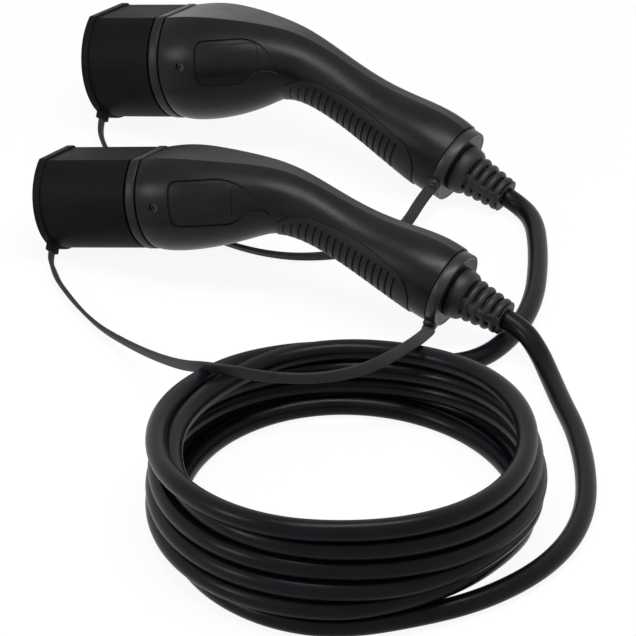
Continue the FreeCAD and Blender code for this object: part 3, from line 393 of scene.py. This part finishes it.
lay_strap(
    "vehicle", [(-0.141967, -0.06177, 0.007835, 98), (-0.142826, -0.065718, 0.004104, 104)],
    [(-0.1812, 0.3018, 0.0041, 112), (-0.178, 0.286, 0.0041, 122), (-0.172, 0.270, 0.0041, 127),
     (-0.162, 0.247, 0.0041, 127), (-0.149, 0.223, 0.0045, 125), (-0.134, 0.198, 0.009, 122),
     (-0.119, 0.168, 0.018, 118), (-0.104, 0.136, 0.030, 114), (-0.092, 0.106, 0.044, 108),
     (-0.081, 0.085, 0.0555, 103), (-0.068, 0.080, 0.0565, 100), (-0.053, 0.090, 0.047, 98),
     (-0.038, 0.099, 0.040, 97), (-0.020, 0.103, 0.037, 96), (-0.002, 0.103, 0.039, 92),
     (0.016, 0.100, 0.046, 78), (0.032, 0.099, 0.0555, 55), (0.045, 0.112, 0.0575, 34),
     (0.052, 0.136, 0.050, 26), (0.0545, 0.163, 0.037, 20), (0.0535, 0.183, 0.025, 17)],
    [(0.0935, -0.1762, 0.0146, 16), (0.09605, -0.1693, 0.01628, 14)])
lay_strap(
    "station", [(-0.115664, 0.117074, 0.009414, 98), (-0.117033, 0.111515, 0.004117, 106)],
    [(-0.154, 0.468, 0.0041, 118), (-0.144, 0.432, 0.0041, 128), (-0.128, 0.397, 0.0041, 130),
     (-0.104, 0.362, 0.0041, 130), (-0.073, 0.333, 0.0041, 130), (-0.042, 0.317, 0.0041, 128),
     (-0.012, 0.315, 0.0041, 118), (0.017, 0.326, 0.0041, 90), (0.040, 0.346, 0.006, 50)],
    [(0.095169, -0.002314, 0.017818, 24), (0.10094, 0.00563, 0.01971, 20)])


# A dust cap closes each nose: a cup of soft black rubber with a flange at its
# front, moulded in one with the tab that the strap holds. It pulls straight off.

guns = ("vehicle", "station")


def moulded_finish(name, dark, light, roughness, specular, grain_size, depth, edge=0.0):
    """Moulded plastic or rubber: spark-eroded grain, cloudy tone, soft sheen."""
    cloud_size = 0.025
    finish = Finish(name, specular)
    here = finish.place()
    grain = finish.grain(grain_size, here)
    cloud = finish.grain(cloud_size, here, 4)
    finish.feed("Base Color", finish.blend(finish.spread(cloud, 0.35, 0.68), dark, light))
    sheen = finish.spread(cloud, 0.3, 0.7, roughness - 0.04, roughness + 0.05)
    finish.feed("Roughness", sheen + grain * 0.06)
    finish.emboss(grain, depth, edge)
    return finish.material


def dress(piece, finish):
    """Give the CAD nodes of that piece, one on each connector, the finish."""
    for gun in guns:
        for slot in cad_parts[gun + "_" + piece].material_slots:
            slot.material = finish


dress("dust_cap", moulded_finish(
    "cap rubber", dark=(0.0028, 0.003, 0.003), light=(0.0045, 0.0048, 0.0047),
    roughness=0.5, specular=0.05, grain_size=0.0006, depth=0.00008, edge=0.0009))


# The nose, its collar and the spigot behind it are one moulding of black nylon
# that plugs into the shell. Only the collar shows between the cap and the shell:
# a band that stands a little proud. Behind it a thin near-black matt strip lies
# just over the shell: painted shadow for the shade in the gap there.

nose_nylon = moulded_finish(
    "nose nylon", dark=(0.006, 0.006, 0.0066), light=(0.009, 0.009, 0.0098),
    roughness=0.36, specular=0.16, grain_size=0.0005, depth=0.00005, edge=0.0006)
dress("nose", nose_nylon)
# Painted shadow: a near-black matt finish for the strip behind each collar band, in place of
# the shade in the gap between collar and shell.
painted_gap_shadow = moulded_finish(
    "painted gap shadow", dark=(0.001, 0.001, 0.001), light=(0.0015, 0.0015, 0.0015),
    roughness=0.8, specular=0.0, grain_size=0.0006, depth=0.00002)
collar_start, collar_width, collar_proud = 0.0001, 0.0072, 0.0005
collar_round, collar_round_steps = 0.0008, 4
# The painted shadow strip: its width behind the band, how far it stands off the shell, and how
# far it runs under the band.
painted_shadow_width, painted_shadow_proud, painted_shadow_under_collar = 0.0009, 0.00004, 0.0003

# Each barrel: where its collar starts, its direction, its upper side, its
# radius, and how high its flat top lies above its middle.
barrels = {
    "vehicle": (Vector((-0.07924, -0.05954, 0.047486)), Vector((0.892204, -0.397235, 0.214885)),
                Vector((-0.107452, 0.275429, 0.955297)), 0.033, 0.0274),
    "station": (Vector((-0.06594, 0.12826, 0.049026)), Vector((0.883902, -0.417819, 0.210105)),
                Vector((-0.096949, 0.275797, 0.956314)), 0.0383, 0.0318)}


def in_frame(origin, along, up):
    """Turns a mesh drawn about its own +X axis into its place on the object."""
    axes = Matrix((along, up.cross(along), up)).transposed().to_4x4()
    return Matrix.Translation(origin) @ axes


def flat_topped(radius, flat, round_steps=96, flat_steps=8):
    """Outline of a barrel, round with a flat along its top."""
    half = math.acos(flat / radius)
    turns = [half + (math.tau - 2 * half) * step / round_steps
             for step in range(round_steps + 1)]
    half_chord = radius * math.sin(half)
    chord = [(half_chord * (2 * step / flat_steps - 1), flat) for step in range(1, flat_steps)]
    return [(radius * math.sin(turn), radius * math.cos(turn)) for turn in turns] + chord


def skin(name, rows, looped=False):
    """Mesh through rows of an outline, each at its distance along X."""
    vertices = [(along, across, up) for along, outline in rows for across, up in outline]
    count = len(rows[0][1])
    faces = []
    for row in range(len(rows) if looped else len(rows) - 1):
        here, beyond = row * count, (row + 1) % len(rows) * count
        for step in range(count):
            ahead = (step + 1) % count
            faces.append((here + step, beyond + step, beyond + ahead, here + ahead))
    mesh = bpy.data.meshes.new(name)
    mesh.from_pydata(vertices, [], faces)
    mesh.shade_smooth()
    return mesh


def place_mesh(name, mesh, seat, finish):
    """A piece on the cable's body, of that finish, from a mesh drawn about its own
    +X axis."""
    mesh.transform(seat)
    mesh.materials.append(finish)
    piece = bpy.data.objects.new(name, mesh)
    scene.collection.objects.link(piece)
    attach(piece, "cable")
    return piece


for gun, (origin, along, up, radius, flat) in barrels.items():
    seat = in_frame(origin, along, up)
    edge = []
    for step in range(collar_round_steps + 1):
        turn = math.radians(90 * step / collar_round_steps)
        rise = collar_proud - collar_round * (1 - math.sin(turn))
        edge.append((collar_start + collar_round * (1 - math.cos(turn)),
                     flat_topped(radius + rise, flat + rise)))
    band_end = collar_width - painted_shadow_width
    rows = edge + [(band_end - start, outline) for start, outline in reversed(edge)]
    # Outline of the painted shadow strip, a hair outside the shell's.
    painted_shadow_outline = flat_topped(radius + painted_shadow_proud, flat + painted_shadow_proud)
    painted_shadow_rows = [(band_end - painted_shadow_under_collar, painted_shadow_outline), (collar_width, painted_shadow_outline)]
    bands = {"collar": (rows, nose_nylon), "collar_painted_shadow": (painted_shadow_rows, painted_gap_shadow)}
    for part, (outlines, finish) in bands.items():
        name = gun + "_" + part
        band = place_mesh(name, skin(name, outlines), seat, finish)


# Inside the nose a dark grey retainer holds the silvered contacts, and a ring
# of black rubber seals the nose to the shell. They show only with the cap off.

def bare_metal(name, colour, roughness):
    """Metal that is duller and darker where its tool marks lie."""
    mark_size, dulled, relief = 0.0006, 0.7, 0.00002
    finish = Finish(name, specular=0.5)
    finish.shader.inputs["Metallic"].default_value = 1
    marks = finish.grain(mark_size, finish.place(), 3)
    finish.feed("Base Color", finish.blend(
        finish.spread(marks, 0.3, 0.75), colour, [dulled * part for part in colour]))
    finish.feed("Roughness", finish.spread(marks, 0.3, 0.7, roughness - 0.07, roughness + 0.1))
    finish.emboss(marks, relief)
    return finish.material


silvered_copper = bare_metal("silvered copper", (0.82, 0.8, 0.76), roughness=0.22)
dress("power_contacts", silvered_copper)
dress("signal_contacts", silvered_copper)
seal_rubber = moulded_finish(
    "seal rubber", dark=(0.042, 0.042, 0.042), light=(0.058, 0.058, 0.058),
    roughness=0.5, specular=0.4, grain_size=0.0006, depth=0.00004)
dress("nose_seal", seal_rubber)
inner_nylon = moulded_finish(
    "inner nylon", dark=(0.042, 0.042, 0.046), light=(0.056, 0.056, 0.062),
    roughness=0.5, specular=0.4, grain_size=0.0006, depth=0.00004)
dress("contact_retainer", inner_nylon)


# The handle shell is one bent moulding of glass-filled black nylon, flat on top
# of the barrel and round in the hand, with a sunk panel and a bare plaque on
# each side. Its fine spark-eroded grain gives a satin sheen.

dress("handle_shell", moulded_finish(
    "shell nylon", dark=(0.0036, 0.0039, 0.0042), light=(0.0056, 0.006, 0.0066),
    roughness=0.28, specular=0.13, grain_size=0.0005, depth=0.00005, edge=0.0007))


# A cap screw on each side, blackened steel with a hexagon socket, pins the
# shell to the spigot of the nose. Handling has rubbed it to a dull bronze.

dress("side_screws", bare_metal("screw steel", (0.085, 0.066, 0.045), roughness=0.42))


# The grip pad is a soft inlay moulded onto the underside of the handle, with
# ribs across it that run out under a smooth border.

dress("grip_pad", moulded_finish(
    "grip rubber", dark=(0.004, 0.004, 0.004), light=(0.006, 0.006, 0.006),
    roughness=0.42, specular=0.16, grain_size=0.0005, depth=0.0001, edge=0.0004))


# A ring of the strap's rubber is sprung round the end of each handle and holds
# the strap by a small lug under it. It is a band with rounded edges, set into
# the shell so that only its two lines show.

ring_rubber = moulded_finish(
    "ring rubber", dark=(0.009, 0.009, 0.0094), light=(0.014, 0.014, 0.0146),
    roughness=0.34, specular=0.25, grain_size=0.0006, depth=0.00006)
ring_width, ring_depth, ring_round, ring_proud = 0.0075, 0.0022, 0.0006, 0.00025
ring_inset = 0.3 * ring_round

# How far a lug hangs out of its ring, half its width at the ring and at its end,
# and how far round the ring from below it sits.
lug_rise, lug_foot, lug_top = 0.0046, 0.0066, 0.0042
lug_length, lug_round, lug_round_steps = 0.96 * ring_width, 0.0011, 4
lug_turns = {"vehicle": math.radians(30), "station": math.radians(66)}

# Each handle: where it starts, its direction, its upper side, its length and
# the radius of its end.
handles = {
    "vehicle": (Vector((0.006412, -0.097675, 0.068115)),
                Vector((0.83361, -0.480788, -0.271913)),
                Vector((0.335661, 0.04999, 0.940655)), 0.127, 0.0244),
    "station": (Vector((0.012727, 0.091074, 0.067725)),
                Vector((0.798934, -0.500539, -0.333415)),
                Vector((0.390368, 0.009858, 0.920606)), 0.133, 0.0248)}


turn_steps = 72


def turned(profile):
    """Rows of a shape of revolution about +X through distance and radius pairs."""
    turns = [math.tau * step / turn_steps for step in range(turn_steps)]
    return [(along, [(radius * math.sin(turn), radius * math.cos(turn)) for turn in turns])
            for along, radius in profile]


def lug_mesh(radius, turn):
    """The lug under a ring, narrower at its end and round at its edges."""
    shape = bmesh.new()
    bmesh.ops.create_cube(shape, size=1)
    for corner in shape.verts:
        half = lug_top if corner.co.z < 0 else lug_foot
        depth = radius + lug_rise if corner.co.z < 0 else radius - ring_depth / 2
        corner.co = (ring_width / 2 + lug_length * corner.co.x, 2 * half * corner.co.y, -depth)
    bmesh.ops.bevel(shape, geom=shape.edges[:], offset=lug_round, segments=lug_round_steps,
                    affect="EDGES")
    mesh = bpy.data.meshes.new("lug")
    shape.to_mesh(mesh)
    shape.free()
    mesh.shade_smooth()
    mesh.transform(Matrix.Rotation(-turn, 4, "X"))
    return mesh


def joined(name, parts):
    """One mesh from the parts, which it uses up."""
    shape = bmesh.new()
    for part in parts:
        shape.from_mesh(part)
        bpy.data.meshes.remove(part)
    mesh = bpy.data.meshes.new(name)
    shape.to_mesh(mesh)
    shape.free()
    return mesh


for gun, (origin, along, up, length, tail_radius) in handles.items():
    inner, outer = tail_radius - ring_depth, tail_radius + ring_proud
    profile = [(0, inner), (0, outer - ring_round), (ring_inset, outer - ring_inset),
               (ring_round, outer), (ring_width - ring_round, outer),
               (ring_width - ring_inset, outer - ring_inset),
               (ring_width, outer - ring_round), (ring_width, inner)]
    band = skin(gun + "_ring_band", turned(profile), looped=True)
    lug = lug_mesh(tail_radius, lug_turns[gun])
    ring = place_mesh(gun + "_ring", joined(gun + "_ring", [band, lug]),
                      in_frame(origin + along * (length - ring_width), along, up), ring_rubber)
    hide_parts(gun + "_tail_ring")


# The bend relief is a boot of matt black rubber over the cable where it leaves
# the handle. Its open ribs, joined by a web on each side, let the cable bend
# only in a wide curve; its sleeve goes through the handle's end wall.

boot_rubber = moulded_finish(
    "boot rubber", dark=(0.0085, 0.0085, 0.0088), light=(0.013, 0.013, 0.0134),
    roughness=0.42, specular=0.24, grain_size=0.0008, depth=0.0001)

# Distances are from the handle's end. The webs shrink from near to far, and a
# window is cut between them down to its floor.
rib_count, rib_pitch, first_rib = 4, 0.0062, 0.0134
rib_radius, rib_taper, rib_half_width, rib_half_depth = 0.0139, 0.055, 0.0026, 0.0024
web_near, web_far, window_floor = 0.0138, 0.0112, 0.0092
web_half, web_ease = math.radians(14), math.radians(7)
ribs_start, ribs_end = 0.0101, 0.0352

# The boot's turned ends, as distance and radius.
bell = [(0, 0.009), (0, 0.0161), (0.0003, 0.0164), (0.0012, 0.0165), (0.005, 0.0162),
        (0.0078, 0.0155), (0.0092, 0.0144), (0.0098, 0.0128)]
tip = [(0.0353, 0.0111), (0.0358, 0.0108), (0.036, 0.01), (0.036, 0.0065)]


def web_row(along):
    """Outline between the ribs: a web on each side, open above and below it."""
    share = (along - ribs_start) / (ribs_end - ribs_start)
    full = web_near + (web_far - web_near) * share
    outline = []
    for step in range(turn_steps):
        turn = math.tau * step / turn_steps
        off_side = math.asin(abs(math.cos(turn)))
        open_share = min(1, max(0, (off_side - web_half) / web_ease))
        radius = full - (full - window_floor) * open_share
        outline.append((radius * math.sin(turn), radius * math.cos(turn)))
    return along, outline


def ribs_tree():
    """Node tree that sets a row of shrinking rounded rings along +X and joins
    them to the turned body that it is given."""
    hoop_steps, bead_steps = 56, 14
    sizes = ("First", "Pitch", "Radius", "Taper", "Half Width", "Half Depth")
    tree, asked = begin_tree("boot ribs", {"Count": "Int", **dict.fromkeys(sizes, "Float")})
    start = add_node(tree, "ShaderNodeCombineXYZ", None, {"X": asked["First"]})
    offset = add_node(tree, "ShaderNodeCombineXYZ", None, {"X": asked["Pitch"]})
    places = add_node(tree, "GeometryNodeMeshLine", None, {
        "Count": asked["Count"], "Start Location": start, "Offset": offset})
    hoop = add_node(tree, "GeometryNodeCurvePrimitiveCircle", None,
                    {"Resolution": hoop_steps, "Radius": asked["Radius"]})
    bead = add_node(tree, "GeometryNodeCurvePrimitiveCircle", None,
                    {"Resolution": bead_steps, "Radius": 1.0})
    bead_size = add_node(tree, "ShaderNodeCombineXYZ", None, {
        "X": asked["Half Depth"], "Y": asked["Half Width"], "Z": 1.0})
    bead = add_node(tree, "GeometryNodeTransform", None, {"Geometry": bead, "Scale": bead_size})
    ring = add_node(tree, "GeometryNodeCurveToMesh", None,
                    {"Curve": hoop, "Profile Curve": bead})
    ring = add_node(tree, "GeometryNodeTransform", None,
                    {"Geometry": ring, "Rotation": (0, math.radians(90), 0)})
    index = add_node(tree, "GeometryNodeInputIndex")
    size = 1 - index * asked["Taper"]
    scale = add_node(tree, "ShaderNodeCombineXYZ", None, {"X": 1.0, "Y": size, "Z": size})
    rings = add_node(tree, "GeometryNodeInstanceOnPoints", None,
                     {"Points": places, "Instance": ring, "Scale": scale})
    join = tree.nodes.new("GeometryNodeJoinGeometry")
    tree.links.new(asked["Geometry"].socket, join.inputs[0])
    tree.links.new(rings.socket, join.inputs[0])
    end_tree(tree, Signal(tree, join.outputs[0]), asked["Material"])
    return tree


boot_tree = ribs_tree()
for gun, (origin, along, up, length, tail_radius) in handles.items():
    rows = turned(bell) + [web_row(ribs_start), web_row(ribs_end)] + turned(tip)
    body = bpy.data.objects.new(gun + "_boot_body", skin(gun + "_boot_body", rows))
    scene.collection.objects.link(body)
    boot = made_by(boot_tree, body, gun + "_boot", {
        "Count": rib_count, "First": first_rib, "Pitch": rib_pitch, "Taper": rib_taper,
        "Radius": rib_radius - rib_half_depth, "Half Width": rib_half_width,
        "Half Depth": rib_half_depth, "Material": boot_rubber})
    boot.data.transform(in_frame(origin + along * length, along, up))
    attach(boot, "cable")
    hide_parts(gun + "_bend_relief")


# The cable's end is clamped inside the handle: two half discs of dark nylon
# with their screws, a gland seal, the brown cores and a coding resistor.

dress("clamp_lower", inner_nylon)
dress("clamp_upper", inner_nylon)
dress("clamp_screws", bare_metal("clamp screw steel", (0.5, 0.48, 0.45), roughness=0.3))
dress("gland_seal", seal_rubber)
dress("cable_end", moulded_finish(
    "inner jacket", dark=(0.005, 0.005, 0.006), light=(0.008, 0.008, 0.009),
    roughness=0.4, specular=0.2, grain_size=0.0009, depth=0.00005))
dress("wire_cores", moulded_finish(
    "core insulation", dark=(0.32, 0.11, 0.045), light=(0.38, 0.13, 0.055),
    roughness=0.4, specular=0.4, grain_size=0.0005, depth=0.00003))
dress("coding_resistor", moulded_finish(
    "resistor ceramic", dark=(0.42, 0.35, 0.26), light=(0.48, 0.41, 0.3),
    roughness=0.4, specular=0.4, grain_size=0.0004, depth=0.00003))


# The studio: a pale floor that the camera sees as white, with the object's
# shadow on it, a long soft box overhead and a small one far out to the left.

def seen(tree):
    """1 where the camera, a reflection or a refraction looks."""
    path = tree.nodes.new("ShaderNodeLightPath")
    rays = [Signal(tree, path.outputs[name]) for name in
            ("Is Camera Ray", "Is Glossy Ray", "Is Transmission Ray")]
    return rays[0].maths("MAXIMUM", rays[1]).maths("MAXIMUM", rays[2])


def studio_floor():
    """Pale matt floor that glows white where it is seen, but for a small share
    in which the object's shadow shows."""
    glow_share = 0.92
    material = bpy.data.materials.new("studio floor")
    material.use_nodes = True
    tree = material.node_tree
    matt = tree.nodes["Principled BSDF"]
    matt.inputs["Base Color"].default_value = (0.82, 0.82, 0.82, 1)
    matt.inputs["Roughness"].default_value = 0.9
    matt.inputs["Specular IOR Level"].default_value = 0
    glow = add_node(tree, "ShaderNodeEmission", None, {"Color": (1, 1, 1, 1), "Strength": 1.0})
    mix = add_node(tree, "ShaderNodeMixShader", None, {
        0: seen(tree) * glow_share, 1: Signal(tree, matt.outputs[0]), 2: glow})
    tree.links.new(mix.socket, tree.nodes["Material Output"].inputs["Surface"])
    return material


floor_half = 20.0
floor_mesh = bpy.data.meshes.new("floor")
floor_mesh.from_pydata([(-floor_half, -floor_half, 0), (floor_half, -floor_half, 0),
                        (floor_half, floor_half, 0), (-floor_half, floor_half, 0)],
                       [], [(0, 1, 2, 3)])
floor_mesh.materials.append(studio_floor())
floor = bpy.data.objects.new("floor", floor_mesh)
scene.collection.objects.link(floor)

# The room is white where it is seen, and lights the object less than that.
room_light = 0.38
world = bpy.data.worlds.new("studio")
scene.world = world
world.use_nodes = True
room = world.node_tree
backdrop = room.nodes["Background"].inputs
backdrop["Color"].default_value = (1, 1, 1, 1)
strength = seen(room) * (1 - room_light) + room_light
room.links.new(strength.socket, backdrop["Strength"])


def soft_box(name, place, aim, width, depth, watts):
    """A rectangular lamp at a place, facing a point."""
    light = bpy.data.lights.new(name, "AREA")
    light.shape = "RECTANGLE"
    light.size, light.size_y = width, depth
    light.energy = watts
    lamp = bpy.data.objects.new(name, light)
    lamp.location = place
    lamp.rotation_euler = (Vector(aim) - Vector(place)).to_track_quat("-Z", "Y").to_euler()
    scene.collection.objects.link(lamp)


soft_box("overhead", (0.12, -0.5, 1.5), (0, -0.1, 0), width=1.4, depth=0.2, watts=26)
soft_box("fill", (-2.6, -1.1, 1.15), (0, -0.1, 0), width=0.6, depth=0.6, watts=24)
